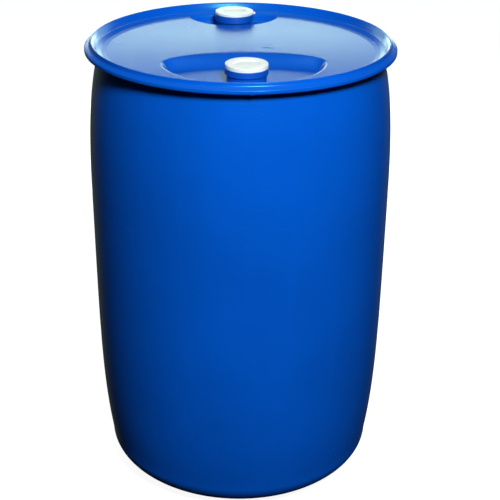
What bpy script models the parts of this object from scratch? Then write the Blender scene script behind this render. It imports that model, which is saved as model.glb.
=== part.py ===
"""Tight-head plastic drum of 210 litres with a handling ring and two sealed screw closures.

The drum stands on its foot at z = 0. Both necks lie on the mould's parting plane, x = 0:
the buttress-threaded closure is at the front (-Y) and the pipe-threaded one at the rear (+Y).
Lengths are given in millimetres in the outlines and turned into metres when meshes are made.
"""
import math

import bmesh
import bpy
from mathutils import Matrix, Vector

MM = 0.001
GAP = 0.3                      # clearance between pieces that touch, mm

# Drum body
DRUM_HEIGHT = 890.0
HEAD_Z = 870.0                 # flat top of the head, 20 mm below the ring's lip
WALL = 4.0
BELLY_RADIUS = 288.8
BELLY_Z = 608.0
FOOT_RADIUS = 161.5            # where the flat foot meets the bottom corner
CORNER_WIDTH = 106.0           # radial size of the soft elliptical bottom corner
CORNER_HEIGHT = 64.0
DISH_RADIUS = 130.0
DISH_DEPTH = 10.0
SHOULDER_Z = 845.0
SEAT_RADIUS = 268.5            # upright band that the handling ring sits on
HEAD_RADIUS = 250.0
BODY_SEGMENTS = 64
CAVITY_SEGMENTS = 48

# Bung wells in the head
WELL_FLOOR_Z = 855.0
# Each well is the space shared by two discs, given as centre y and radius at its edge and at
# its floor. The front well's back disc recedes more, which makes a ramp behind the neck.
FRONT_WELL = (((-70.0, 149.0), (-70.0, 136.0)), ((-290.0, 266.0), (-885.0, 800.0)))
REAR_WELL = (((0.0, 258.0), (0.0, 254.0)), ((262.0, 93.0), (262.0, 89.0)))
FRONT_NECK_Y = -155.5
REAR_NECK_Y = 216.0

# Closures, heights shared by both necks but for the collar's top
FRONT_COLLAR_TOP_Z = 880.5
REAR_COLLAR_TOP_Z = 883.0
COLLAR_BOTTOM_Z = 869.5
COLLAR_RADIUS = 38.6
NECK_RADIUS = 35.5
RIM_RADIUS = 36.3
RIM_TOP_Z = 885.8
SEAT_Z = 880.0
COUNTERBORE_RADIUS = 34.2
FLANGE_RADIUS = 33.6
FLANGE_TOP_Z = 885.6
FLANGE_BOTTOM_Z = 882.4
PLUG_BOTTOM_Z = 862.0
CUP_FLOOR_Z = 866.0
CAP_TOP_Z = 888.0
CAP_RADIUS = 38.2
CAP_SEGMENTS = 32
HOLE_SEGMENTS = 48
THREAD_SEGMENTS = 24

BLUE = (0.004, 0.112, 0.55)
DEEP_BLUE = (0.004, 0.09, 0.46)
WHITE = (0.93, 0.93, 0.90)
GREY_RUBBER = (0.55, 0.56, 0.56)


class Thread:
    """A screw thread as a helical ridge on the plug and one inside the neck."""

    def __init__(self, pitch, bore, ridge_in, core, ridge_out, root_width, crest_width, start_z,
                 plug_turns, neck_turns):
        self.pitch = pitch
        self.bore = bore
        self.ridge_in = ridge_in
        self.core = core
        self.ridge_out = ridge_out
        self.root_width = root_width
        self.crest_width = crest_width
        self.start_z = start_z
        self.plug_turns = plug_turns
        self.neck_turns = neck_turns


BUTTRESS_56 = Thread(pitch=4.0, bore=28.4, ridge_in=26.3, core=25.6, ridge_out=27.7,
                     root_width=1.9, crest_width=0.9, start_z=865.0, plug_turns=3.5, neck_turns=3.75)
PIPE_2_INCH = Thread(pitch=2.209, bore=30.15, ridge_in=28.95, core=28.5, ridge_out=29.7,
                     root_width=1.0, crest_width=0.3, start_z=866.0, plug_turns=4.0, neck_turns=4.5)


def clear_scene():
    """Remove every object, mesh, material and collection of the open file."""
    for item in list(bpy.data.objects):
        bpy.data.objects.remove(item, do_unlink=True)
    for group in list(bpy.data.collections):
        bpy.data.collections.remove(group)
    for mesh in list(bpy.data.meshes):
        bpy.data.meshes.remove(mesh)
    for material in list(bpy.data.materials):
        bpy.data.materials.remove(material)


def new_collection(name):
    """Return a new collection linked to the scene."""
    group = bpy.data.collections.new(name)
    bpy.context.scene.collection.children.link(group)
    return group


def new_material(name, color, roughness):
    """Return a plain Principled material."""
    material = bpy.data.materials.new(name)
    material.use_nodes = True
    shader = material.node_tree.nodes["Principled BSDF"]
    shader.inputs["Base Color"].default_value = (*color, 1.0)
    shader.inputs["Roughness"].default_value = roughness
    shader.inputs["Metallic"].default_value = 0.0
    return material


def new_object(name, mesh, group, material=None):
    """Return an object in a collection; one with no material is a tool for cutting or joining."""
    item = bpy.data.objects.new(name, mesh)
    group.objects.link(item)
    if material is None:
        item.hide_render = True
        item.display_type = "WIRE"
    else:
        mesh.materials.append(material)
    return item


def turned(name, outline, group, material=None, segments=BODY_SEGMENTS, center_y=0.0, ring=False):
    """Turn an outline of (radius, height) about a vertical axis.

    The outline runs outwards over the top, down the outer side and back underneath.
    A ring's outline closes on itself; any other starts and ends on the axis.
    """
    mesh = bpy.data.meshes.new(name)
    points = [(radius * MM, 0.0, height * MM) for radius, height in outline]
    edges = [(index, index + 1) for index in range(len(points) - 1)]
    if ring:
        edges.append((len(points) - 1, 0))
    mesh.from_pydata(points, edges, [])
    item = new_object(name, mesh, group, material)
    item.location.y = center_y * MM
    screw = item.modifiers.new("turn", "SCREW")
    screw.axis = "Z"
    screw.angle = math.tau
    screw.steps = segments
    screw.render_steps = segments
    screw.use_merge_vertices = True
    screw.merge_threshold = 0.00001
    screw.use_smooth_shade = True
    return item


def combine(item, tool, operation):
    """Add a live Boolean modifier."""
    boolean = item.modifiers.new(tool.name, "BOOLEAN")
    boolean.operation = operation
    boolean.object = tool
    boolean.solver = "EXACT"


def belly(height):
    """Return the radius of the barrel-shaped wall at a height."""
    if height > BELLY_Z:
        return BELLY_RADIUS - 13.7 * ((height - BELLY_Z) / 221.0) ** 2.9
    drop = BELLY_Z - height
    return BELLY_RADIUS - 0.0075 * drop - 12.1 * (drop / 503.0) ** 5.0


def wall_outline(inset, corner_steps, wall_steps):
    """Return the side of the body from the shoulder down to the foot, moved inwards by inset."""
    points = []
    for step in range(wall_steps):
        height = SHOULDER_Z - (SHOULDER_Z - CORNER_HEIGHT) * step / wall_steps
        points.append((belly(height) - inset, height))
    for step in range(corner_steps + 1):
        angle = 0.5 * math.pi * step / corner_steps
        radius = FOOT_RADIUS + (CORNER_WIDTH - inset) * math.cos(angle)
        height = CORNER_HEIGHT - (CORNER_HEIGHT - inset) * math.sin(angle)
        points.append((radius, height))
    return points


def body_outline():
    """Return the outside of the drum body before its wells are sunk."""
    head = [(0.0, HEAD_Z), (HEAD_RADIUS, HEAD_Z), (259.0, 871.4), (266.2, 874.9)]
    rim = [(267.6, 875.0), (SEAT_RADIUS, 873.8), (SEAT_RADIUS, 863.0), (270.2, 854.0)]
    foot = [(DISH_RADIUS + 20.0, 0.0), (DISH_RADIUS, DISH_DEPTH), (0.0, DISH_DEPTH)]
    return head + rim + wall_outline(0.0, corner_steps=5, wall_steps=8) + foot


def cavity_outline():
    """Return the inside of the drum body before its wells are sunk."""
    head = [(0.0, HEAD_Z - WALL), (258.0, HEAD_Z - WALL), (264.3, 861.0)]
    foot = [(DISH_RADIUS + 21.0, WALL), (DISH_RADIUS + 1.0, DISH_DEPTH + WALL), (0.0, DISH_DEPTH + WALL)]
    return head + wall_outline(WALL, corner_steps=4, wall_steps=5) + foot


def distance_to_disc(origin, direction, center_y, radius):
    """Return how far a ray from a point inside a disc runs before it leaves the disc."""
    offset = Vector((0.0, origin)) - Vector((0.0, center_y))
    along = offset.dot(direction)
    return -along + math.sqrt(along * along - offset.length_squared + radius * radius)


def well_outline(middle_y, discs, segments, sharpness=10.0):
    """Return a function giving the outline shared by some discs, with its corners rounded.

    The rounding comes from a power mean of the distances to the discs, which follows the
    nearest one and blends them where they are equally far.
    """
    def loop(share, height, outward):
        points = []
        for step in range(segments):
            angle = math.tau * step / segments
            direction = Vector((math.cos(angle), math.sin(angle)))
            total = 0.0
            for edge, foot in discs:
                center = edge[0] + share * (foot[0] - edge[0])
                radius = edge[1] + share * (foot[1] - edge[1]) + outward
                total += distance_to_disc(middle_y, direction, center, radius) ** -sharpness
            reach = total ** (-1.0 / sharpness)
            points.append(Vector((direction.x * reach, middle_y + direction.y * reach, height)) * MM)
        return points
    return loop


def sunk_well(name, loop, grow, group):
    """Loft a tool that sinks a well: a soft upper edge, then walls that ease into the floor."""
    depth = HEAD_Z - WELL_FLOOR_Z
    levels = [(0.0, 9.0, 8.0), (0.0, 0.3, 2.0)]
    for share in (0.25, 0.75, 1.0):
        levels.append((share, -0.5 * depth * (1.0 - math.cos(math.pi * share)), 0.0))
    shape = bmesh.new()
    rows = []
    for share, height, outward in levels:
        points = loop(share, HEAD_Z + height - grow, outward + grow)
        rows.append([shape.verts.new(point) for point in points])
    for upper, lower in zip(rows, rows[1:]):
        for index, corner in enumerate(upper):
            following = (index + 1) % len(upper)
            shape.faces.new((corner, lower[index], lower[following], upper[following]))
    shape.faces.new(rows[0])
    shape.faces.new(list(reversed(rows[-1])))
    bmesh.ops.recalc_face_normals(shape, faces=shape.faces)
    mesh = bpy.data.meshes.new(name)
    shape.to_mesh(mesh)
    shape.free()
    return new_object(name, mesh, group)


def upright_cylinder(name, radius, low, high, center_y, group):
    """Return a cylinder used as a cutting tool."""
    shape = bmesh.new()
    place = Matrix.Translation((0.0, center_y * MM, 0.5 * (low + high) * MM))
    bmesh.ops.create_cone(shape, cap_ends=True, segments=HOLE_SEGMENTS, radius1=radius * MM,
                          radius2=radius * MM, depth=(high - low) * MM, matrix=place)
    mesh = bpy.data.meshes.new(name)
    shape.to_mesh(mesh)
    shape.free()
    return new_object(name, mesh, group)


def make_drum_body(parts, tools, material):
    """Build the blow-moulded shell, with its wells and the two holes for the necks."""
    body = turned("drum_body", body_outline(), parts, material)
    cavity = turned("cavity", cavity_outline(), tools, segments=CAVITY_SEGMENTS)
    front_loop = well_outline(-125.0, FRONT_WELL, segments=36)
    rear_loop = well_outline(216.0, REAR_WELL, segments=32)
    for side, loop in (("front", front_loop), ("rear", rear_loop)):
        combine(body, sunk_well(side + "_well", loop, 0.0, tools), "DIFFERENCE")
        combine(cavity, sunk_well(side + "_well_skin", loop, WALL, tools), "DIFFERENCE")
    combine(body, cavity, "DIFFERENCE")
    for side, center_y in (("front", FRONT_NECK_Y), ("rear", REAR_NECK_Y)):
        hole = upright_cylinder(side + "_hole", NECK_RADIUS + GAP, 840.0, 862.0, center_y, tools)
        combine(body, hole, "DIFFERENCE")
    return body


def make_handling_ring(parts, material):
    """Build the L-section ring around the shoulder: an upright lip and an outward flange."""
    lip = [(276.4, DRUM_HEIGHT), (278.6, DRUM_HEIGHT), (279.6, 888.0)]
    flange = [(281.2, 882.0), (288.8, 879.4), (290.5, 877.8), (290.5, 873.6)]
    underside = [(288.6, 871.4), (SEAT_RADIUS + GAP, 864.4)]
    inner = [(SEAT_RADIUS + GAP, 874.2), (268.6, 875.8), (274.6, 887.0)]
    return turned("handling_ring", lip + flange + underside + inner, parts, material, ring=True)


def helical_ridge(name, root, crest, thread, start_z, turns, center_y, group):
    """Sweep a thread's section along its helix, as a right-hand ridge with closed ends."""
    section = [
        (root, start_z - 0.5 * thread.root_width),
        (crest, start_z - 0.5 * thread.crest_width),
        (crest, start_z + 0.5 * thread.crest_width),
        (root, start_z + 0.5 * thread.root_width),
    ]
    shape = bmesh.new()
    half_facet = Matrix.Rotation(0.5 * math.tau / THREAD_SEGMENTS, 4, "Z")
    corners = [half_facet @ Vector((radius * MM, 0.0, height * MM)) for radius, height in section]
    face = shape.faces.new([shape.verts.new(corner) for corner in corners])
    steps = round(THREAD_SEGMENTS * turns)
    rise = Vector((0.0, 0.0, thread.pitch / THREAD_SEGMENTS * MM))
    region = [face] + list(face.edges) + list(face.verts)
    bmesh.ops.spin(shape, geom=region, cent=(0.0, 0.0, 0.0), axis=(0.0, 0.0, 1.0), dvec=rise,
                   angle=math.tau * turns, steps=steps, use_duplicate=False)
    bmesh.ops.recalc_face_normals(shape, faces=shape.faces)
    mesh = bpy.data.meshes.new(name)
    shape.to_mesh(mesh)
    shape.free()
    item = new_object(name, mesh, group)
    item.location.y = center_y * MM
    return item


def make_neck(side, thread, center_y, collar_top, parts, tools, material):
    """Build a neck insert: seal seat, snap rim, collar, threaded bore and inner flange."""
    under_floor = WELL_FLOOR_Z - WALL - GAP
    outer = [
        (RIM_RADIUS - 0.4, RIM_TOP_Z), (RIM_RADIUS + 0.6, 885.0), (RIM_RADIUS + 0.6, 884.2),
        (RIM_RADIUS, 883.6), (RIM_RADIUS, collar_top), (COLLAR_RADIUS - 0.6, collar_top),
        (COLLAR_RADIUS, collar_top - 0.6), (COLLAR_RADIUS, COLLAR_BOTTOM_Z + 0.6),
        (COLLAR_RADIUS - 0.6, COLLAR_BOTTOM_Z), (NECK_RADIUS, COLLAR_BOTTOM_Z),
        (NECK_RADIUS, under_floor), (NECK_RADIUS + 5.5, under_floor), (NECK_RADIUS + 5.5, under_floor - 4.0),
    ]
    inner = [
        (thread.bore, under_floor - 4.0), (thread.bore, SEAT_Z), (COUNTERBORE_RADIUS, SEAT_Z),
        (COUNTERBORE_RADIUS, RIM_TOP_Z),
    ]
    neck = turned(side + "_neck", outer + inner, parts, material, THREAD_SEGMENTS, center_y, ring=True)
    ridge = helical_ridge(side + "_neck_thread", thread.bore + 0.5, thread.ridge_in, thread,
                          thread.start_z - 0.5 * thread.pitch, thread.neck_turns, center_y, tools)
    combine(neck, ridge, "UNION")
    return neck


def make_plug(side, thread, center_y, parts, tools, material):
    """Build a bung plug: a hollow threaded cup with a flange and four wrench lugs."""
    cup = thread.core - 2.2
    outline = [
        (0.0, CUP_FLOOR_Z), (cup, CUP_FLOOR_Z), (cup, FLANGE_TOP_Z - 0.8), (cup + 0.8, FLANGE_TOP_Z),
        (FLANGE_RADIUS - 0.8, FLANGE_TOP_Z), (FLANGE_RADIUS, FLANGE_TOP_Z - 0.8),
        (FLANGE_RADIUS, FLANGE_BOTTOM_Z), (thread.core, FLANGE_BOTTOM_Z),
        (thread.core, PLUG_BOTTOM_Z + 1.0), (thread.core - 1.0, PLUG_BOTTOM_Z), (0.0, PLUG_BOTTOM_Z),
    ]
    plug = turned(side + "_bung_plug", outline, parts, material, THREAD_SEGMENTS, center_y)
    ridge = helical_ridge(side + "_plug_thread", thread.core - 0.5, thread.ridge_out, thread,
                          thread.start_z, thread.plug_turns, center_y, tools)
    combine(plug, ridge, "UNION")
    for index in range(4):
        shape = bmesh.new()
        size = Matrix.Diagonal((5.5 * MM, 5.0 * MM, 12.0 * MM, 1.0))
        place = Matrix.Translation(((cup - 2.0) * MM, 0.0, (CUP_FLOOR_Z + 5.5) * MM))
        spin = Matrix.Rotation(math.tau * (index + 0.5) / 4, 4, "Z")
        bmesh.ops.create_cube(shape, size=1.0, matrix=spin @ place @ size)
        mesh = bpy.data.meshes.new(side + "_lug")
        shape.to_mesh(mesh)
        shape.free()
        lug = new_object(side + "_lug_" + str(index + 1), mesh, tools)
        lug.location.y = center_y * MM
        combine(plug, lug, "UNION")
    return plug


def make_gasket(side, thread, center_y, parts, material):
    """Build the flat sealing washer between the neck's seat and the plug's flange."""
    low = SEAT_Z + GAP
    high = FLANGE_BOTTOM_Z - GAP
    hole = thread.bore + 0.4
    outline = [(FLANGE_RADIUS - 0.2, high), (FLANGE_RADIUS - 0.2, low), (hole, low), (hole, high)]
    return turned(side + "_gasket", outline, parts, material, THREAD_SEGMENTS, center_y, ring=True)


def make_cap_seal(side, tab_angle, center_y, collar_top, parts, tools, material):
    """Build a tamper-evident cap seal: dished top, skirt with a snap bead, and a pull tab."""
    low = collar_top + GAP
    bead = 882.4 + 0.6 * (collar_top - FRONT_COLLAR_TOP_Z)
    outline = [
        (0.0, CAP_TOP_Z - 1.6), (23.6, CAP_TOP_Z - 1.6), (25.4, CAP_TOP_Z), (CAP_RADIUS - 1.1, CAP_TOP_Z),
        (CAP_RADIUS, CAP_TOP_Z - 1.1), (CAP_RADIUS, low), (37.15, low),
        (37.15, bead), (37.35, bead + 0.4), (37.35, CAP_TOP_Z - 1.5), (24.3, CAP_TOP_Z - 1.5),
        (22.7, CAP_TOP_Z - 3.0), (0.0, CAP_TOP_Z - 3.0),
    ]
    cap = turned(side + "_cap_seal", outline, parts, material, CAP_SEGMENTS, center_y)
    shape = bmesh.new()
    size = Matrix.Diagonal((4.5 * MM, 13.0 * MM, 1.4 * MM, 1.0))
    place = Matrix.Translation(((CAP_RADIUS + 1.4) * MM, 0.0, (CAP_TOP_Z - 4.0) * MM))
    bmesh.ops.create_cube(shape, size=1.0, matrix=Matrix.Rotation(tab_angle, 4, "Z") @ place @ size)
    mesh = bpy.data.meshes.new(side + "_tab")
    shape.to_mesh(mesh)
    shape.free()
    tab = new_object(side + "_tab", mesh, tools)
    tab.location.y = center_y * MM
    combine(cap, tab, "UNION")
    return cap


def main():
    """Build the drum."""
    clear_scene()
    parts = new_collection("plastic_drum")
    tools = new_collection("tools")
    body_blue = new_material("body_blue", BLUE, 0.32)
    neck_blue = new_material("neck_blue", DEEP_BLUE, 0.35)
    cap_white = new_material("cap_white", WHITE, 0.4)
    plug_white = new_material("plug_white", (0.8, 0.8, 0.78), 0.4)
    seal_rubber = new_material("seal_rubber", GREY_RUBBER, 0.7)

    make_drum_body(parts, tools, body_blue)
    make_handling_ring(parts, body_blue)
    closures = (
        ("front", BUTTRESS_56, FRONT_NECK_Y, FRONT_COLLAR_TOP_Z, math.radians(90.0)),
        ("rear", PIPE_2_INCH, REAR_NECK_Y, REAR_COLLAR_TOP_Z, math.radians(-5.0)),
    )
    for side, thread, center_y, collar_top, tab_angle in closures:
        make_neck(side, thread, center_y, collar_top, parts, tools, neck_blue)
        make_gasket(side, thread, center_y, parts, seal_rubber)
        make_plug(side, thread, center_y, parts, tools, plug_white)
        make_cap_seal(side, tab_angle, center_y, collar_top, parts, tools, cap_white)


main()
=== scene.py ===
"""Visual model of a blue tight-head plastic drum with a handling ring and two sealed bungs.

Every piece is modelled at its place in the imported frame, in millimetres turned into metres.
The two closures share their classes and differ in their thread and their place.
"""
import logging
import math
from dataclasses import dataclass, field
from enum import Enum
from typing import Callable, Sequence

import bpy
from mathutils import Matrix, Vector


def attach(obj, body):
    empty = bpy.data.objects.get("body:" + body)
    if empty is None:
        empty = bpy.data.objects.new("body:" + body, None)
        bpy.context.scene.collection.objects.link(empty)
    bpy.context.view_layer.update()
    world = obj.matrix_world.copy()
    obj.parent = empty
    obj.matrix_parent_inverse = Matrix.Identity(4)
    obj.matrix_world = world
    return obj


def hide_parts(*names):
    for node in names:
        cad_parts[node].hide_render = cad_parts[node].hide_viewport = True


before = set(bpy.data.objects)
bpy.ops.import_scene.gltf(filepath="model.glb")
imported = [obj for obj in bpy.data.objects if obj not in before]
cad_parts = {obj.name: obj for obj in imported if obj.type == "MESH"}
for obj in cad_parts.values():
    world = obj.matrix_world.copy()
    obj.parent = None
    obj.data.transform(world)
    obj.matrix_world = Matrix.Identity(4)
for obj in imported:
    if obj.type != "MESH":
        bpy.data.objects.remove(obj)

MM = 0.001
WELD = 0.000002                # metres within which two points are one
LOG = logging.getLogger("drum")

Point = tuple[float, float]
Corner = tuple[float, float, float]
Colour = tuple[float, float, float]


class Grain(Enum):
    """How the mould's steel was finished, which the plastic copies."""

    BLASTED = "blasted"
    SATIN = "satin"


class Side(Enum):
    """The two closures, by the side of the head that they stand on."""

    FRONT = "front"
    REAR = "rear"


# ---------------------------------------------------------------------------------------
# Outlines
# ---------------------------------------------------------------------------------------

def arc(center: Point, radii: Point, start: float, end: float, steps: int) -> list[Point]:
    """Return points along an elliptical arc.

    Args:
        center: The ellipse's centre, as radius and height.
        radii: Its two half axes.
        start: First angle, in degrees from the outward direction.
        end: Last angle, in degrees.
        steps: Number of stretches.

    Returns:
        The points, both ends included.
    """
    points = []
    for step in range(steps + 1):
        angle = math.radians(start + (end - start) * step / steps)
        points.append((center[0] + radii[0] * math.cos(angle), center[1] + radii[1] * math.sin(angle)))
    return points


def soften(corners: Sequence[Corner], steps: int = 5, closed: bool = False) -> list[Point]:
    """Round the corners of an outline.

    Args:
        corners: Radius, height and rounding of each corner, in millimetres.
        steps: Number of stretches in each rounding.
        closed: Whether the outline closes on itself.

    Returns:
        The outline with each rounded corner as a short curve.
    """
    count = len(corners)
    points: list[Point] = []
    for index, (radius, height, rounding) in enumerate(corners):
        here = Vector((radius, height))
        if rounding <= 0.0 or (not closed and index in (0, count - 1)):
            points.append((radius, height))
            continue
        before = Vector(corners[index - 1][:2]) - here
        after = Vector(corners[(index + 1) % count][:2]) - here
        half = 0.5 * before.angle(after)
        reach = min(rounding / math.tan(half), 0.49 * before.length, 0.49 * after.length)
        first = here + before.normalized() * reach
        last = here + after.normalized() * reach
        for step in range(steps + 1):
            share = step / steps
            spot = first * (1.0 - share) ** 2 + here * (2.0 * share * (1.0 - share)) + last * share ** 2
            points.append((spot.x, spot.y))
    return points


# ---------------------------------------------------------------------------------------
# Modelling by hand operators
# ---------------------------------------------------------------------------------------

class Bench:
    """The modelling operators that the pieces share."""

    @staticmethod
    def deselect() -> None:
        """Leave edit mode and deselect every object."""
        if bpy.context.object is not None and bpy.context.object.mode != "OBJECT":
            bpy.ops.object.mode_set(mode="OBJECT")
        bpy.ops.object.select_all(action="DESELECT")

    @staticmethod
    def take(item: bpy.types.Object) -> None:
        """Make one object the only selected and active one."""
        Bench.deselect()
        item.select_set(True)
        bpy.context.view_layer.objects.active = item

    @staticmethod
    def edit(item: bpy.types.Object) -> None:
        """Enter edit mode on an object with nothing selected."""
        Bench.take(item)
        bpy.ops.object.mode_set(mode="EDIT")
        bpy.ops.mesh.select_all(action="DESELECT")

    @staticmethod
    def pick(item: bpy.types.Object, mode: str, test: Callable[[Vector, Vector], bool]) -> int:
        """Select the vertices, edges or faces that pass a test, and stay in edit mode.

        Args:
            item: The object being edited.
            mode: VERT, EDGE or FACE.
            test: Called with an element's middle and its direction or normal.

        Returns:
            How many were selected.
        """
        bpy.ops.mesh.select_mode(type=mode)
        bpy.ops.mesh.select_all(action="DESELECT")
        bpy.ops.object.mode_set(mode="OBJECT")
        mesh = item.data
        found = 0
        if mode == "FACE":
            for face in mesh.polygons:
                face.select = test(face.center, face.normal)
                found += face.select
        elif mode == "EDGE":
            for edge in mesh.edges:
                first, last = (mesh.vertices[index].co for index in edge.vertices)
                edge.select = test(0.5 * (first + last), (last - first).normalized())
                found += edge.select
        else:
            for vertex in mesh.vertices:
                vertex.select = test(vertex.co, vertex.normal)
                found += vertex.select
        bpy.ops.object.mode_set(mode="EDIT")
        return found

    @staticmethod
    def turned(name: str, outline: Sequence[Point], steps: int, center_y: float = 0.0,
               closed: bool = False) -> bpy.types.Object:
        """Extrude an outline point by point and spin it about a vertical axis.

        Args:
            name: The piece's name.
            outline: Radius and height of each point, in millimetres.
            steps: Number of stretches around the axis.
            center_y: Where the axis stands along Y, in millimetres.
            closed: Whether the outline closes on itself, as a ring's does.

        Returns:
            The turned object.
        """
        Bench.deselect()
        places = [Vector((radius, center_y, height)) * MM for radius, height in outline]
        bpy.ops.mesh.primitive_plane_add(size=MM, location=places[0])
        item = bpy.context.object
        item.name = name
        item.data.name = name
        bpy.ops.object.transform_apply(location=True, rotation=True, scale=True)
        bpy.ops.object.mode_set(mode="EDIT")
        bpy.ops.mesh.select_mode(type="VERT")
        bpy.ops.mesh.select_all(action="SELECT")
        bpy.ops.mesh.merge(type="CENTER")
        for first, last in zip(places, places[1:]):
            bpy.ops.mesh.extrude_region_move(TRANSFORM_OT_translate={"value": last - first})
        if closed:
            ends = (places[0], places[-1])
            Bench.pick(item, "VERT", lambda spot, _: any((spot - end).length < 1e-7 for end in ends))
            bpy.ops.mesh.edge_face_add()
        bpy.ops.mesh.select_all(action="SELECT")
        bpy.ops.mesh.spin(steps=steps, angle=math.tau, center=(0.0, center_y * MM, 0.0), axis=(0.0, 0.0, 1.0))
        bpy.ops.mesh.select_all(action="SELECT")
        bpy.ops.mesh.remove_doubles(threshold=WELD)
        bpy.ops.mesh.normals_make_consistent(inside=False)
        bpy.ops.object.mode_set(mode="OBJECT")
        return item

    @staticmethod
    def loops(name: str, rings: Sequence[Sequence[Vector]]) -> bpy.types.Object:
        """Draw closed loops point by point, bridge each to the next and close both ends.

        Args:
            name: The object's name.
            rings: The loops' points, in metres, each loop with as many points as the others.

        Returns:
            The closed object.
        """
        Bench.deselect()
        parts = []
        for ring in rings:
            bpy.ops.mesh.primitive_plane_add(size=MM, location=ring[0])
            item = bpy.context.object
            bpy.ops.object.transform_apply(location=True, rotation=True, scale=True)
            bpy.ops.object.mode_set(mode="EDIT")
            bpy.ops.mesh.select_mode(type="VERT")
            bpy.ops.mesh.select_all(action="SELECT")
            bpy.ops.mesh.merge(type="CENTER")
            for first, last in zip(ring, [*ring[1:], ring[0]]):
                bpy.ops.mesh.extrude_region_move(TRANSFORM_OT_translate={"value": last - first})
            bpy.ops.mesh.select_all(action="SELECT")
            bpy.ops.mesh.remove_doubles(threshold=WELD)
            bpy.ops.object.mode_set(mode="OBJECT")
            parts.append(item)
        Bench.deselect()
        for item in parts:
            item.select_set(True)
        bpy.context.view_layer.objects.active = parts[0]
        bpy.ops.object.join()
        item = bpy.context.object
        item.name = name
        item.data.name = name
        Bench.edit(item)
        bpy.ops.mesh.select_mode(type="EDGE")
        bpy.ops.mesh.select_all(action="SELECT")
        bpy.ops.mesh.bridge_edge_loops()
        for end in (rings[0], rings[-1]):
            height = end[0].z
            Bench.pick(item, "EDGE", lambda spot, _, level=height: abs(spot.z - level) < 1e-6)
            bpy.ops.mesh.edge_face_add()
        bpy.ops.mesh.select_all(action="SELECT")
        bpy.ops.mesh.normals_make_consistent(inside=False)
        bpy.ops.object.mode_set(mode="OBJECT")
        return item

    @staticmethod
    def combine(item: bpy.types.Object, tool: bpy.types.Object, operation: str) -> None:
        """Cut or join an object with a tool, and use the tool up."""
        Bench.take(item)
        boolean = item.modifiers.new("combine", "BOOLEAN")
        boolean.operation = operation
        boolean.object = tool
        boolean.solver = "EXACT"
        bpy.ops.object.modifier_apply(modifier=boolean.name)
        bpy.data.objects.remove(tool, do_unlink=True)

    @staticmethod
    def smooth(item: bpy.types.Object, degrees: float = 35.0) -> None:
        """Shade an object smooth up to an angle between its faces, with the large faces kept flat."""
        Bench.take(item)
        bpy.ops.object.shade_smooth_by_angle(angle=math.radians(degrees))
        weighted = item.modifiers.new("weighted", "WEIGHTED_NORMAL")
        weighted.keep_sharp = True
        bpy.ops.object.modifier_apply(modifier=weighted.name)

    @staticmethod
    def settle(item: bpy.types.Object) -> None:
        """Apply an object's place, so that it lies in its mesh."""
        Bench.take(item)
        bpy.ops.object.transform_apply(location=True, rotation=True, scale=True)

    @staticmethod
    def ridge(name: str, section: Sequence[Point], pitch: float, turns: float, steps: int,
              center_y: float, lead: float) -> bpy.types.Object:
        """Sweep a four-cornered thread section along a right-hand helix.

        Args:
            name: The ridge's name.
            section: Radius and height of the four corners, in millimetres.
            pitch: Rise in one turn, in millimetres.
            turns: Number of turns.
            steps: Stretches in each turn.
            center_y: Where the axis stands along Y, in millimetres.
            lead: Angle at which the thread starts, in degrees.

        Returns:
            The ridge as a closed object.
        """
        Bench.deselect()
        bpy.ops.mesh.primitive_plane_add(size=MM)
        item = bpy.context.object
        item.name = name
        start = Matrix.Rotation(math.radians(lead), 4, "Z")
        order = (0, 1, 3, 2)
        for corner, index in zip(section, order):
            item.data.vertices[index].co = start @ (Vector((corner[0], 0.0, corner[1])) * MM)
        whole = math.floor(turns)
        screw = item.modifiers.new("thread", "SCREW")
        screw.axis = "Z"
        screw.angle = math.tau * turns
        screw.screw_offset = pitch * turns * MM
        screw.steps = screw.render_steps = steps * max(1, whole)
        screw.use_merge_vertices = False
        Bench.edit(item)
        bpy.ops.mesh.select_mode(type="FACE")
        bpy.ops.mesh.select_all(action="SELECT")
        bpy.ops.mesh.delete(type="ONLY_FACE")
        bpy.ops.object.mode_set(mode="OBJECT")
        bpy.ops.object.modifier_apply(modifier=screw.name)
        Bench.edit(item)
        bpy.ops.mesh.select_mode(type="EDGE")
        bpy.ops.mesh.select_all(action="SELECT")
        bpy.ops.mesh.fill_holes(sides=4)
        bpy.ops.mesh.select_all(action="SELECT")
        bpy.ops.mesh.normals_make_consistent(inside=False)
        bpy.ops.object.mode_set(mode="OBJECT")
        item.location.y = center_y * MM
        Bench.settle(item)
        return item


# ---------------------------------------------------------------------------------------
# Finishes
# ---------------------------------------------------------------------------------------

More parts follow.
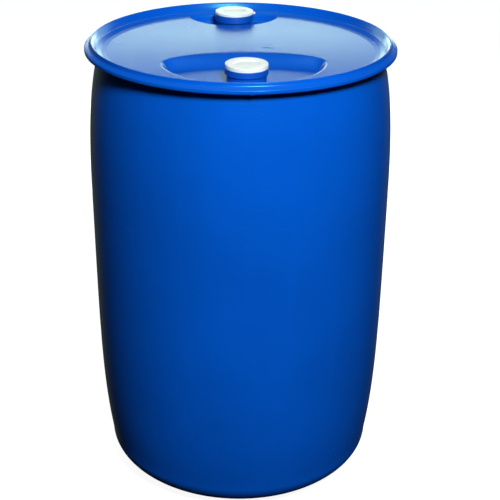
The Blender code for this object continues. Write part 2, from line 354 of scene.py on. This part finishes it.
class Shade:
    """A number that varies over a surface: a shader socket with arithmetic."""

    def __init__(self, kit: "ShaderKit", socket: bpy.types.NodeSocket) -> None:
        """Wrap a socket of a material's node tree."""
        self.kit = kit
        self.socket = socket

    def math(self, operation: str, *others: "Shade | float", flip: bool = False) -> "Shade":
        """Add a Math node.

        Args:
            operation: The Math node's operation.
            others: Its other operands.
            flip: Whether this value comes second.

        Returns:
            The result.
        """
        operands = [*others, self] if flip else [self, *others]
        inputs = {index: operand for index, operand in enumerate(operands)}
        return Shade(self.kit, self.kit.node("ShaderNodeMath", {"operation": operation}, inputs).outputs[0])

    def __add__(self, other: "Shade | float") -> "Shade":
        """Return the sum."""
        return self.math("ADD", other)

    __radd__ = __add__

    def __sub__(self, other: "Shade | float") -> "Shade":
        """Return the difference."""
        return self.math("SUBTRACT", other)

    def __rsub__(self, other: float) -> "Shade":
        """Return the difference from a number."""
        return self.math("SUBTRACT", other, flip=True)

    def __mul__(self, other: "Shade | float") -> "Shade":
        """Return the product."""
        return self.math("MULTIPLY", other)

    __rmul__ = __mul__

    def __neg__(self) -> "Shade":
        """Return this with its sign turned."""
        return self.math("MULTIPLY", -1.0)

    def size(self) -> "Shade":
        """Return the absolute value."""
        return self.math("ABSOLUTE")

    def rise(self, low: float, high: float) -> "Shade":
        """Return 0 below low, 1 above high and a smooth step between."""
        settings = {"interpolation_type": "SMOOTHSTEP"}
        inputs = {"Value": self, "From Min": low, "From Max": high, "To Min": 0.0, "To Max": 1.0}
        return Shade(self.kit, self.kit.node("ShaderNodeMapRange", settings, inputs).outputs[0])

    def bump_at(self, middle: float, width: float) -> "Shade":
        """Return a soft band that is 1 at a value and falls to 0 at a width from it."""
        return 1.0 - (self - middle).size().rise(0.0, width)


class ShaderKit:
    """The node tree of one material, or of the room around the drum."""

    def __init__(self, name: str, room: bool = False) -> None:
        """Start a material or a room with an empty tree."""
        self.owner = bpy.data.worlds.new(name) if room else bpy.data.materials.new(name)
        self.owner.use_nodes = True
        self.tree = self.owner.node_tree
        self.tree.nodes.clear()
        place = self.node("ShaderNodeTexCoord", {}, {}).outputs["Generated" if room else "Object"]
        self.place = place
        parts = self.node("ShaderNodeSeparateXYZ", {}, {0: place})
        self.x = Shade(self, parts.outputs[0])
        self.y = Shade(self, parts.outputs[1])
        self.z = Shade(self, parts.outputs[2])
        self.radius = (self.x * self.x + self.y * self.y).math("SQRT")

    def node(self, kind: str, settings: dict[str, object], inputs: dict[object, object]) -> bpy.types.Node:
        """Add a node.

        Args:
            kind: The node's type.
            settings: Attributes to set first, such as a Math node's operation.
            inputs: Values or links, by the socket's name or number.

        Returns:
            The node.
        """
        made = self.tree.nodes.new(kind)
        for key, value in settings.items():
            setattr(made, key, value)
        for key, value in inputs.items():
            socket = made.inputs[key]
            source = value.socket if isinstance(value, Shade) else value
            if isinstance(source, bpy.types.NodeSocket):
                self.tree.links.new(source, socket)
            else:
                socket.default_value = source
        return made

    def stretched(self, scale: tuple[float, float, float]) -> bpy.types.NodeSocket:
        """Return the object coordinates scaled along each axis."""
        node = self.node("ShaderNodeVectorMath", {"operation": "MULTIPLY"}, {0: self.place, 1: scale})
        return node.outputs[0]

    def noise(self, scale: float, detail: float = 2.0, roughness: float = 0.5,
              along: bpy.types.NodeSocket | None = None) -> Shade:
        """Return a noise from 0 to 1.

        Args:
            scale: Features in a metre.
            detail: Number of finer layers.
            roughness: Strength of the finer layers.
            along: Coordinates to use in place of the object's.

        Returns:
            The noise value.
        """
        inputs = {"Vector": along or self.place, "Scale": scale, "Detail": detail, "Roughness": roughness}
        return Shade(self, self.node("ShaderNodeTexNoise", {}, inputs).outputs[0])

    def blend(self, share: Shade, first: Sequence[float] | bpy.types.NodeSocket,
              last: Sequence[float] | bpy.types.NodeSocket) -> bpy.types.NodeSocket:
        """Return a colour between two colours.

        Args:
            share: 0 for the first colour and 1 for the last.
            first: A colour or a link.
            last: A colour or a link.

        Returns:
            The mixed colour.
        """
        node = self.node("ShaderNodeMix", {"data_type": "RGBA"}, {0: share, 6: first, 7: last})
        return node.outputs[2]

    def finish(self, colour: object, roughness: object, height: Shade | None,
               steady: dict[str, object]) -> bpy.types.Material:
        """Close the tree with a Principled shader.

        Args:
            colour: A colour or a link.
            roughness: A number or a varying value.
            height: Relief in metres, or None.
            steady: Numbers and colours that are the same all over, by the socket's name.

        Returns:
            The material.
        """
        inputs: dict[object, object] = {"Base Color": colour, "Roughness": roughness, **steady}
        if height is not None:
            bump = self.node("ShaderNodeBump", {}, {"Strength": 1.0, "Distance": 1.0, "Height": height})
            inputs["Normal"] = bump.outputs[0]
        shader = self.node("ShaderNodeBsdfPrincipled", {}, inputs)
        self.node("ShaderNodeOutputMaterial", {}, {"Surface": shader.outputs[0]})
        return self.owner


def tint(colour: Sequence[float], factor: float, lift: float = 0.0) -> tuple[float, float, float, float]:
    """Return a colour made brighter or darker, and lifted towards white."""
    red, green, blue = (min(1.0, channel * factor + lift) for channel in colour)
    return (red, green, blue, 1.0)


# How far each grain stands up, in metres
GRAIN_HEIGHT = {Grain.BLASTED: 0.000035, Grain.SATIN: 0.000014}


@dataclass(frozen=True)
class BlownSkin:
    """High-density polyethylene as it leaves a blow mould: satin, with faint flow lines and scuffs, and one
    dark reflection painted on the head.
    """

    name: str = "blown_blue_polyethylene"
    colour: Colour = (0.0006, 0.085, 0.53)
    roughness: float = 0.26
    grain: Grain = Grain.BLASTED
    belly_z: float = 0.608
    ring_radius: float = 0.2905

    def material(self) -> bpy.types.Material:
        """Build the material."""
        kit = ShaderKit(self.name)
        cloud = kit.noise(5.0, detail=3.0)
        flow = kit.noise(1.0, detail=4.0, along=kit.stretched((46.0, 46.0, 1.4)))
        speck = kit.noise(260.0, detail=3.0, roughness=0.7)
        tone = kit.blend(cloud.rise(0.3, 0.7), tint(self.colour, 0.95), tint(self.colour, 1.05))
        tone = kit.blend(flow.rise(0.48, 0.78) * 0.35, tone, tint(self.colour, 1.1))
        rub = (kit.z - self.belly_z).size().rise(0.02, 0.14)
        rub = (1.0 - rub) * kit.radius.rise(0.27, 0.288)
        edge = kit.radius.rise(self.ring_radius - 0.0016, self.ring_radius + 0.0006)
        foot = 1.0 - kit.z.rise(0.001, 0.016)
        dashes = kit.noise(1.0, detail=5.0, roughness=0.75, along=kit.stretched((30.0, 30.0, 420.0)))
        scuff = dashes.rise(0.6, 0.72) * (rub * 0.5 + edge * 0.9 + foot * 0.8)
        tone = kit.blend(scuff * 0.3, tone, tint(self.colour, 1.3, 0.035))
        dust = speck.rise(0.62, 0.8) * (1.0 - kit.z.rise(0.02, 0.2))
        tone = kit.blend(dust * 0.18, tone, tint(self.colour, 1.1, 0.06))
        rough = self.roughness + (cloud - 0.5) * 0.05 + scuff * 0.2 + dust * 0.1 + (flow - 0.5) * 0.04
        seam = kit.x.bump_at(0.0, 0.0009) * kit.radius.rise(0.03, 0.05)
        peel = kit.noise(75.0, detail=1.0) * 0.00002 + kit.noise(16.0, detail=1.0) * 0.00012
        # A dull patch at the back edge of the front well: roughness raised, and its colour darkened as a
        # painted dark reflection.
        dull_patch_and_painted_reflection = kit.x.bump_at(0.048, 0.014) * kit.y.bump_at(0.006, 0.008) * kit.z.rise(0.86, 0.868)
        tone = kit.blend(dull_patch_and_painted_reflection * 0.6, tone, tint(self.colour, 0.55))
        rough = rough + dull_patch_and_painted_reflection * 0.25
        grit = kit.noise(1500.0, detail=1.0) * GRAIN_HEIGHT[self.grain]
        height = peel + grit + seam * 0.00008 - scuff * 0.00002
        steady = {"IOR": 1.5, "Specular IOR Level": 0.4, "Specular Tint": (0.2, 1.0, 0.85, 1.0)}
        return kit.finish(tone, rough, height, steady)


@dataclass(frozen=True)
class MouldedPlastic:
    """Injection-moulded plastic with an even, fine finish."""

    name: str
    colour: Colour
    roughness: float
    grain: Grain
    glow: float = 0.0

    def material(self) -> bpy.types.Material:
        """Build the material."""
        kit = ShaderKit(self.name)
        cloud = kit.noise(38.0, detail=2.0)
        hair = kit.noise(1.0, detail=4.0, roughness=0.7, along=kit.stretched((900.0, 120.0, 200.0)))
        scratch = hair.rise(0.66, 0.74)
        tone = kit.blend(cloud.rise(0.3, 0.7), tint(self.colour, 0.96), tint(self.colour, 1.03))
        tone = kit.blend(scratch * 0.15, tone, tint(self.colour, 0.9))
        rough = self.roughness + (cloud - 0.5) * 0.08 + scratch * 0.12
        grit = kit.noise(2200.0, detail=1.0) * GRAIN_HEIGHT[self.grain]
        height = grit + cloud * 0.00003 - scratch * 0.00001
        steady = {"IOR": 1.49, "Subsurface Weight": self.glow, "Subsurface Scale": 0.004}
        return kit.finish(tone, rough, height, steady)


@dataclass(frozen=True)
class SealRubber:
    """Soft grey foam rubber with a matt, slightly mottled skin."""

    name: str = "grey_seal_rubber"
    colour: Colour = (0.42, 0.43, 0.43)

    def material(self) -> bpy.types.Material:
        """Build the material."""
        kit = ShaderKit(self.name)
        mottle = kit.noise(420.0, detail=3.0, roughness=0.65)
        tone = kit.blend(mottle, tint(self.colour, 0.85), tint(self.colour, 1.1))
        height = mottle * 0.00005
        return kit.finish(tone, 0.62 + mottle * 0.2, height, {"IOR": 1.5})


# ---------------------------------------------------------------------------------------
# Pieces
# ---------------------------------------------------------------------------------------

@dataclass
class Disc:
    """One of the circles that bound a well, at its edge and at its floor, in millimetres."""

    edge_y: float
    edge_radius: float
    floor_y: float
    floor_radius: float

    def reach(self, middle_y: float, way: Vector, share: float, outward: float) -> float:
        """Return how far it is from a point inside to the circle.

        Args:
            middle_y: Where the point lies along Y, in millimetres.
            way: The direction to look in.
            share: 0 at the well's edge and 1 at its floor.
            outward: How much the circle is grown, in millimetres.

        Returns:
            The distance in millimetres.
        """
        center = self.edge_y + share * (self.floor_y - self.edge_y)
        radius = self.edge_radius + share * (self.floor_radius - self.edge_radius) + outward
        along = way.y * (middle_y - center)
        return -along + math.sqrt(along ** 2 - (middle_y - center) ** 2 + radius ** 2)


@dataclass
class Well:
    """One bung well sunk in the head, as the space that two discs share, in millimetres."""

    name: str
    discs: tuple[Disc, Disc]
    middle_y: float
    sharpness: float = 14.0
    points: int = 216
    levels: int = 14
    head_z: float = 870.0
    floor_z: float = 855.0

    def plan(self, share: float, height: float, outward: float) -> list[Vector]:
        """Return the well's outline at one level.

        Args:
            share: 0 at the edge and 1 at the floor.
            height: The level's height, in millimetres.
            outward: How much the outline is grown, in millimetres.

        Returns:
            The outline's points, in metres.
        """
        ring = []
        for index in range(self.points):
            angle = math.tau * index / self.points
            way = Vector((math.cos(angle), math.sin(angle)))
            reaches = [disc.reach(self.middle_y, way, share, outward) for disc in self.discs]
            reach = sum(each ** -self.sharpness for each in reaches) ** (-1.0 / self.sharpness)
            ring.append(Vector((way.x * reach, self.middle_y + way.y * reach, height)) * MM)
        return ring

    def cutter(self, grow: float = 0.0) -> bpy.types.Object:
        """Model the tool that sinks the well: outlines drawn level by level and bridged.

        Args:
            grow: The wall's thickness where the tool shapes the well's underside, in millimetres.

        Returns:
            The tool.
        """
        depth = self.head_z - self.floor_z
        rings = [self.plan(0.0, self.head_z + 8.0 - grow, 8.0 + grow)]
        for level in range(self.levels + 1):
            share = level / self.levels
            height = self.head_z - 0.5 * depth * (1.0 - math.cos(math.pi * share)) - grow
            rings.append(self.plan(share, height, grow))
        return Bench.loops(self.name, rings)


@dataclass
class DrumShell:
    """The blow-moulded body, in millimetres."""

    head_z: float = 870.0
    head_radius: float = 248.0
    seat_radius: float = 268.5
    belly_radius: float = 288.8
    belly_z: float = 608.0
    shoulder_z: float = 845.0
    foot_radius: float = 161.5
    corner_width: float = 106.0
    corner_height: float = 64.0
    dish_radius: float = 130.0
    dish_depth: float = 10.0
    wall: float = 4.0
    steps: int = 192
    cavity_steps: int = 96
    cavity_well_points: int = 72
    cavity_well_levels: int = 5
    swage_heights: tuple[float, ...] = (291.0, 604.0)
    swage_depth: float = 0.4
    swage_width: float = 6.0
    hole_radius: float = 35.8
    neck_places: tuple[float, ...] = (-155.5, 216.0)

    def belly(self, height: float) -> float:
        """Return the barrel's radius at a height, with its two shallow swages."""
        if height > self.belly_z:
            radius = self.belly_radius - 13.7 * ((height - self.belly_z) / 221.0) ** 2.9
        else:
            drop = self.belly_z - height
            radius = self.belly_radius - 0.0075 * drop - 12.1 * (drop / 503.0) ** 5.0
        for swage in self.swage_heights:
            radius -= self.swage_depth * math.exp(-((height - swage) / self.swage_width) ** 2)
        return radius

    def side(self, inset: float, wall_steps: int, corner_steps: int) -> list[Point]:
        """Return the wall from the shoulder to the foot, moved inwards by inset."""
        span = self.shoulder_z - self.corner_height
        heights = [self.shoulder_z - span * step / wall_steps for step in range(wall_steps)]
        center = (self.foot_radius, self.corner_height)
        radii = (self.corner_width - inset, self.corner_height - inset)
        corner = arc(center, radii, 0.0, -90.0, corner_steps)
        return [(self.belly(height) - inset, height) for height in heights] + corner

    def outside(self) -> list[Point]:
        """Return the outer outline, from the middle of the head to the middle of the base."""
        head = [(self.head_radius * step / 12.0, self.head_z) for step in range(13)]
        rim = soften([
            (self.head_radius, self.head_z, 0.0), (250.5, self.head_z, 3.0), (259.0, 871.4, 9.0),
            (267.7, 876.3, 0.4), (self.seat_radius, 876.0, 0.3), (self.seat_radius, 863.5, 6.0),
            (271.4, 850.0, 20.0), (self.belly(self.shoulder_z), self.shoulder_z, 0.0),
        ])
        foot = soften([
            (self.foot_radius, 0.0, 0.0), (150.0, 0.0, 5.0), (self.dish_radius, self.dish_depth, 12.0),
            (0.0, self.dish_depth, 0.0),
        ], steps=6)
        return head + rim[1:-1] + self.side(0.0, 64, 24) + foot[1:]

    def inside(self) -> list[Point]:
        """Return the cavity's outline, from the middle of the head to the middle of the base."""
        top = self.head_z - self.wall
        head = [(0.0, top), (258.0, top), (264.3, 861.0)]
        foot = [(151.0, self.wall), (131.0, self.dish_depth + self.wall), (0.0, self.dish_depth + self.wall)]
        return head + self.side(self.wall, 16, 8) + foot

    def wells(self) -> list[Well]:
        """Return the front well, with its ramp behind the neck, and the rear well."""
        bow = Disc(-70.0, 155.0, -70.0, 134.0)
        ramp = Disc(-290.0, 271.0, -885.0, 800.0)
        rim_side = Disc(0.0, 259.0, 0.0, 253.5)
        middle_side = Disc(262.0, 94.5, 262.0, 88.0)
        return [
            Well("front_well", (bow, ramp), -125.0, sharpness=10.0),
            Well("rear_well", (rim_side, middle_side), 216.0, points=168, levels=9),
        ]

    def build(self, finish: bpy.types.Material) -> bpy.types.Object:
        """Model the shell and dress it.

        Args:
            finish: The body's material.

        Returns:
            The shell.
        """
        shell = Bench.turned("drum_shell", self.outside(), self.steps)
        for well in self.wells():
            Bench.combine(shell, well.cutter(), "DIFFERENCE")
        cavity = Bench.turned("cavity", self.inside(), self.cavity_steps)
        for well in self.wells():
            well.points = self.cavity_well_points
            well.levels = self.cavity_well_levels
            Bench.combine(cavity, well.cutter(self.wall), "DIFFERENCE")
        Bench.combine(shell, cavity, "DIFFERENCE")
        for center_y in self.neck_places:
            Bench.deselect()
            bpy.ops.mesh.primitive_cylinder_add(vertices=96, radius=self.hole_radius * MM, depth=30.0 * MM,
                                                location=(0.0, center_y * MM, 845.0 * MM))
            hole = bpy.context.object
            Bench.settle(hole)
            Bench.combine(shell, hole, "DIFFERENCE")
        Bench.smooth(shell, 38.0)
        shell.data.materials.clear()
        shell.data.materials.append(finish)
        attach(shell, "drum")
        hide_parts("drum_body")
        return shell


@dataclass
class HandlingRing:
    """The L-section ring: an upright lip and an outward flange, in millimetres."""

    top_z: float = 890.0
    radius: float = 290.5
    seat_radius: float = 268.8
    nib_y: float = -287.2
    steps: int = 192

    def outline(self) -> list[Point]:
        """Return the ring's section, clockwise from the lip's inner edge."""
        return soften([
            (276.2, self.top_z, 0.9), (278.8, self.top_z, 1.2), (280.6, 883.0, 5.0), (289.2, 880.2, 1.6),
            (self.radius, 878.6, 1.4), (self.radius, 873.4, 2.0), (286.6, 871.6, 3.0),
            (self.seat_radius, 864.6, 1.5), (self.seat_radius, 876.5, 0.2),
            (271.4, 880.8, 8.0), (275.0, 888.0, 4.0),
        ], steps=6, closed=True)

    def build(self, finish: bpy.types.Material) -> bpy.types.Object:
        """Model the ring, with the small nib at its parting line, and dress it."""
        ring = Bench.turned("l_ring", self.outline(), self.steps, closed=True)
        nib = soften([
            (0.0, 876.0, 0.0), (2.9, 876.0, 0.3), (2.6, 871.6, 1.0), (1.3, 870.0, 0.8), (0.0, 869.8, 0.0),
        ], steps=4)
        Bench.combine(ring, Bench.turned("nib", nib, 24, self.nib_y), "UNION")
        Bench.smooth(ring, 50.0)
        ring.data.materials.clear()
        ring.data.materials.append(finish)
        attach(ring, "drum")
        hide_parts("handling_ring")
        ring.visible_glossy = False
        return ring


@dataclass(frozen=True)
class ThreadForm:
    """A closure's thread, in millimetres: the neck's side and the plug's side."""

    pitch: float
    bore: float
    neck_crest: float
    core: float
    plug_crest: float
    root_width: float
    crest_width: float
    start_z: float
    plug_turns: float
    neck_turns: float

    def section(self, root: float, crest: float, middle_z: float) -> list[Point]:
        """Return the ridge's four corners about a height."""
        return [
            (root, middle_z - 0.5 * self.root_width), (crest, middle_z - 0.5 * self.crest_width),
            (crest, middle_z + 0.5 * self.crest_width), (root, middle_z + 0.5 * self.root_width),
        ]


@dataclass
class Closure:
    """One neck with its gasket, bung plug and cap seal, in millimetres."""

    side: Side
    center_y: float
    thread: ThreadForm
    tab_degrees: float
    steps: int = 96
    thread_steps: int = 48
    cap_top_z: float = 888.0
    cap_radius: float = 38.2
    collar_top_z: float = 880.5
    collar_bottom_z: float = 869.5
    collar_radius: float = 38.6
    neck_radius: float = 35.5
    seat_z: float = 880.0
    flange_radius: float = 33.6
    flange_top_z: float = 885.6
    flange_bottom_z: float = 882.4
    plug_bottom_z: float = 862.0
    cup_floor_z: float = 866.0
    floor_z: float = 855.0
    pieces: list[bpy.types.Object] = field(default_factory=list)

    def named(self, piece: str) -> str:
        """Return a piece's name on this side."""
        return f"{self.side.value}_{piece}"

    def dress(self, item: bpy.types.Object, finish: bpy.types.Material, body: str, node: str) -> None:
        """Give a piece its material and its body, and hide the CAD node that it stands for."""
        item.data.materials.clear()
        item.data.materials.append(finish)
        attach(item, self.named(body) if body != "drum" else body)
        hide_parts(self.named(node))
        self.pieces.append(item)

    def neck(self, finish: bpy.types.Material) -> None:
        """Model the threaded neck with its collar and snap rim."""
        bore = self.thread.bore
        under = self.floor_z - 4.3
        outline = soften([
            (34.3, 885.8, 0.5), (35.9, 885.8, 0.6), (36.9, 884.9, 0.5),
            (36.9, 884.1, 0.5), (36.3, 883.6, 0.3),
            (36.3, self.collar_top_z, 0.3), (self.collar_radius, self.collar_top_z, 1.0),
            (self.collar_radius, self.collar_bottom_z, 1.2), (self.neck_radius, self.collar_bottom_z, 0.8),
            (self.neck_radius, under, 0.3), (41.0, under, 0.5), (41.0, under - 4.0, 0.5),
            (bore, under - 4.0, 0.8), (bore, self.seat_z, 0.4), (34.3, self.seat_z, 0.3),
        ], steps=4, closed=True)
        item = Bench.turned(self.named("threaded_neck"), outline, self.steps, self.center_y, closed=True)
        form = self.thread
        section = form.section(bore + 0.6, form.neck_crest, form.start_z - 0.5 * form.pitch)
        ridge = Bench.ridge("neck_ridge", section, form.pitch, form.neck_turns, self.thread_steps,
                            self.center_y, 7.0)
        Bench.combine(item, ridge, "UNION")
        Bench.smooth(item, 40.0)
        self.dress(item, finish, "drum", "neck")

    def gasket(self, finish: bpy.types.Material) -> None:
        """Model the flat sealing washer."""
        low = self.seat_z + 0.3
        high = self.flange_bottom_z - 0.3
        hole = self.thread.bore + 0.4
        outline = soften([
            (hole, high, 0.4), (self.flange_radius - 0.2, high, 0.4), (self.flange_radius - 0.2, low, 0.4),
            (hole, low, 0.4),
        ], steps=3, closed=True)
        item = Bench.turned(self.named("washer"), outline, self.steps, self.center_y, closed=True)
        Bench.smooth(item, 40.0)
        self.dress(item, finish, "gasket", "gasket")

    def plug(self, finish: bpy.types.Material) -> None:
        """Model the bung plug: threaded cup, flange and four wrench lugs."""
        form = self.thread
        cup = form.core - 2.2
        outline = soften([
            (0.0, self.cup_floor_z, 0.0), (cup, self.cup_floor_z, 1.5), (cup, self.flange_top_z, 0.7),
            (self.flange_radius, self.flange_top_z, 0.8), (self.flange_radius, self.flange_bottom_z, 0.4),
            (form.core, self.flange_bottom_z, 0.4), (form.core, self.plug_bottom_z, 1.2),
            (0.0, self.plug_bottom_z, 0.0),
        ], steps=4)
        item = Bench.turned(self.named("screw_bung"), outline, self.steps, self.center_y)
        section = form.section(form.core - 0.6, form.plug_crest, form.start_z)
        ridge = Bench.ridge("plug_ridge", section, form.pitch, form.plug_turns, self.thread_steps,
                            self.center_y, 7.0)
        Bench.combine(item, ridge, "UNION")
        for index in range(4):
            Bench.combine(item, self.lug(cup, 45.0 + 90.0 * index), "UNION")
        Bench.smooth(item, 40.0)
        self.dress(item, finish, "plug", "bung_plug")

    def lug(self, cup: float, degrees: float) -> bpy.types.Object:
        """Model one wrench lug on the cup's wall, with eased edges."""
        Bench.deselect()
        bpy.ops.mesh.primitive_cube_add(size=1.0, location=(0.0, 0.0, 0.0),
                                        scale=(5.5 * MM, 5.0 * MM, 12.0 * MM))
        item = bpy.context.object
        Bench.settle(item)
        Bench.edit(item)
        bpy.ops.mesh.select_all(action="SELECT")
        bpy.ops.mesh.bevel(offset=0.6 * MM, segments=3, affect="EDGES")
        bpy.ops.object.mode_set(mode="OBJECT")
        self.set_out(item, degrees, cup - 2.0, self.cup_floor_z + 5.5)
        return item

    def set_out(self, item: bpy.types.Object, degrees: float, radius: float, height: float) -> None:
        """Stand a small piece out from the closure's axis, at an angle, a radius and a height."""
        turn = Matrix.Rotation(math.radians(degrees), 4, "Z")
        place = Vector((radius, 0.0, height)) * MM
        middle = Matrix.Translation((0.0, self.center_y * MM, 0.0))
        item.matrix_world = middle @ turn @ Matrix.Translation(place)
        Bench.settle(item)

    def cap(self, finish: bpy.types.Material) -> None:
        """Model the cap seal: dished top, rolled edge, skirt, snap bead and pull tab."""
        top = self.cap_top_z
        low = self.collar_top_z + 0.3
        bead = 882.4 + 0.6 * (self.collar_top_z - 880.5)
        outline = soften([
            (0.0, top - 3.2, 0.0), (21.6, top - 3.0, 2.0), (24.4, top - 0.1, 1.6),
            (self.cap_radius, top, 1.9), (self.cap_radius, 885.2, 0.3),
            (self.cap_radius - 0.25, 884.9, 0.2), (self.cap_radius, 884.6, 0.3),
            (self.cap_radius, low, 0.4), (37.15, low, 0.2), (37.15, bead, 0.2), (37.35, bead + 0.4, 0.2),
            (37.35, top - 1.5, 0.8), (23.2, top - 1.5, 0.6), (20.6, top - 4.6, 0.6), (0.0, top - 4.6, 0.0),
        ], steps=5)
        item = Bench.turned(self.named("tamper_seal"), outline, self.steps, self.center_y)
        Bench.combine(item, self.tab(), "UNION")
        Bench.smooth(item, 40.0)
        self.dress(item, finish, "cap", "cap_seal")

    def tab(self) -> bpy.types.Object:
        """Model the pull tab that tears the seal."""
        Bench.deselect()
        bpy.ops.mesh.primitive_cube_add(size=1.0, scale=(4.5 * MM, 13.0 * MM, 1.4 * MM))
        item = bpy.context.object
        Bench.settle(item)
        Bench.edit(item)
        Bench.pick(item, "EDGE", lambda spot, way: abs(way.z) > 0.9 and spot.x > 0.0)
        bpy.ops.mesh.bevel(offset=2.6 * MM, segments=6, affect="EDGES")
        bpy.ops.mesh.select_all(action="SELECT")
        bpy.ops.mesh.bevel(offset=0.3 * MM, segments=2, affect="EDGES")
        bpy.ops.object.mode_set(mode="OBJECT")
        self.set_out(item, self.tab_degrees, self.cap_radius + 1.4, self.cap_top_z - 4.0)
        return item


@dataclass(frozen=True)
class Lamp:
    """A soft rectangular light: where it hangs and what it faces in metres, its size, watts and colour."""

    name: str
    place: tuple[float, float, float]
    target: tuple[float, float, float]
    size: Point
    power: float
    colour: Colour = (1.0, 1.0, 1.0)

    def hang(self) -> None:
        """Hang the light, unseen by the camera itself."""
        data = bpy.data.lights.new(self.name, "AREA")
        data.shape = "RECTANGLE"
        data.size, data.size_y = self.size
        data.energy = self.power
        data.color = self.colour
        item = bpy.data.objects.new(self.name, data)
        bpy.context.scene.collection.objects.link(item)
        item.visible_camera = False
        item.location = self.place
        item.rotation_mode = "QUATERNION"
        item.rotation_quaternion = (Vector(self.target) - Vector(self.place)).to_track_quat("-Z", "Y")


@dataclass
class Studio:
    """Floor, lights and camera."""

    camera_place: tuple[float, float, float] = (-0.1465, -2.2776, 1.5082)
    heading: float = -4.7
    dip: float = 26.07
    roll: float = 0.77
    lens: float = 89.86
    shift: tuple[float, float] = (-0.0195, 0.0582)
    floor_glow: float = 0.93
    floor_z: float = -0.0006
    back_glow: float = 0.25
    low_glow: float = 0.12
    top_glow: float = 0.15
    front_glow: float = 0.01
    sky_tint: Colour = (0.8, 1.0, 0.92)
    lamps: tuple[Lamp, ...] = (
        Lamp("key", (0.35, -2.25, 2.49), (0.0, 0.0, 0.5), (0.55, 0.55), 104.0, (0.9, 1.0, 1.0)),
        Lamp("panel", (0.0, 0.56, 0.985), (0.0, -0.1, 0.87), (0.9, 0.1), 0.9, (0.74, 1.0, 0.92)),
        Lamp("back", (0.2, 2.4, 0.6), (0.0, 0.0, 0.5), (1.6, 0.9), 34.0, (0.7, 1.0, 0.96)),
        Lamp("top", (0.0, 0.5, 3.2), (0.0, 0.0, 0.9), (1.2, 1.2), 4.0),
    )

    def camera(self) -> None:
        """Place the camera in front of the drum, looking down on its head."""
        data = bpy.data.cameras.new("camera")
        data.lens = self.lens
        data.sensor_width = 36.0
        data.shift_x, data.shift_y = self.shift
        item = bpy.data.objects.new("camera", data)
        bpy.context.scene.collection.objects.link(item)
        turn = (Matrix.Rotation(math.radians(self.heading), 4, "Z")
                @ Matrix.Rotation(math.radians(90.0 - self.dip), 4, "X")
                @ Matrix.Rotation(math.radians(self.roll), 4, "Z"))
        item.matrix_world = Matrix.Translation(self.camera_place) @ turn
        bpy.context.scene.camera = item

    def floor(self) -> None:
        """Lay a plain pale floor that shows a faint shadow and throws no light back on the drum."""
        Bench.deselect()
        bpy.ops.mesh.primitive_plane_add(size=30.0, location=(0.0, 0.0, self.floor_z))
        item = bpy.context.object
        item.name = "floor"
        kit = ShaderKit("pale_floor")
        steady = {"Emission Strength": self.floor_glow, "Specular IOR Level": 0.0,
                  "Emission Color": (1.0, 1.0, 1.0, 1.0)}
        item.data.materials.append(kit.finish((0.4, 0.4, 0.4, 1.0), 0.9, None, steady))
        item.visible_diffuse = False
        item.visible_glossy = False

    def sky(self) -> None:
        """Surround the drum with a room that is bright low down behind it and dim in front."""
        kit = ShaderKit("studio_room", room=True)
        behind = kit.y.rise(0.6, 0.98)
        above = 1.0 - kit.z.rise(0.19, 0.36)
        below = 1.0 - (-kit.z).rise(0.02, 0.3)
        high = kit.z.rise(0.3, 1.0)
        glow = behind * above * below * self.back_glow + behind * (1.0 - below) * self.low_glow
        glow = glow + high * self.top_glow + self.front_glow
        seen = Shade(kit, kit.node("ShaderNodeLightPath", {}, {}).outputs["Is Camera Ray"])
        colour = kit.blend(seen, (*self.sky_tint, 1.0), (1.0, 1.0, 1.0, 1.0))
        strength = glow * (1.0 - seen) + seen
        room = kit.node("ShaderNodeBackground", {}, {"Color": colour, "Strength": strength})
        kit.node("ShaderNodeOutputWorld", {}, {"Surface": room.outputs[0]})
        bpy.context.scene.world = kit.owner

    def build(self) -> None:
        """Set up the whole studio."""
        bpy.context.scene.view_settings.view_transform = "Standard"
        self.camera()
        self.floor()
        self.sky()
        for lamp in self.lamps:
            lamp.hang()


def main() -> None:
    """Build the drum and its studio."""
    logging.basicConfig(level=logging.INFO, format="%(name)s: %(message)s")
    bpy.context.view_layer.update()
    skin = BlownSkin().material()
    neck = MouldedPlastic("neck_blue_polyethylene", (0.001, 0.075, 0.46), 0.36, Grain.SATIN)
    seal = MouldedPlastic("seal_white_polyethylene", (0.86, 0.83, 0.815), 0.38, Grain.SATIN, 0.1)
    bung = MouldedPlastic("bung_white_polyethylene", (0.74, 0.74, 0.71), 0.45, Grain.SATIN, 0.1)
    neck_blue, seal_white, bung_white = neck.material(), seal.material(), bung.material()
    rubber = SealRubber().material()

    for item in (DrumShell().build(skin), HandlingRing().build(skin)):
        LOG.info("%s: %d faces", item.name, len(item.data.polygons))
    buttress = ThreadForm(4.0, 28.4, 26.3, 25.6, 27.7, 1.9, 0.9, 865.0, 3.5, 3.75)
    pipe = ThreadForm(2.209, 30.15, 28.95, 28.5, 29.7, 1.0, 0.3, 866.0, 4.0, 4.5)
    closures = (
        Closure(Side.FRONT, -155.5, buttress, 90.0),
        Closure(Side.REAR, 216.0, pipe, -5.0, collar_top_z=883.0),
    )
    for closure in closures:
        closure.neck(neck_blue)
        closure.gasket(rubber)
        closure.plug(bung_white)
        closure.cap(seal_white)
        for item in closure.pieces:
            LOG.info("%s: %d faces", item.name, len(item.data.polygons))
    Studio().build()


if __name__ == "__main__":
    main()
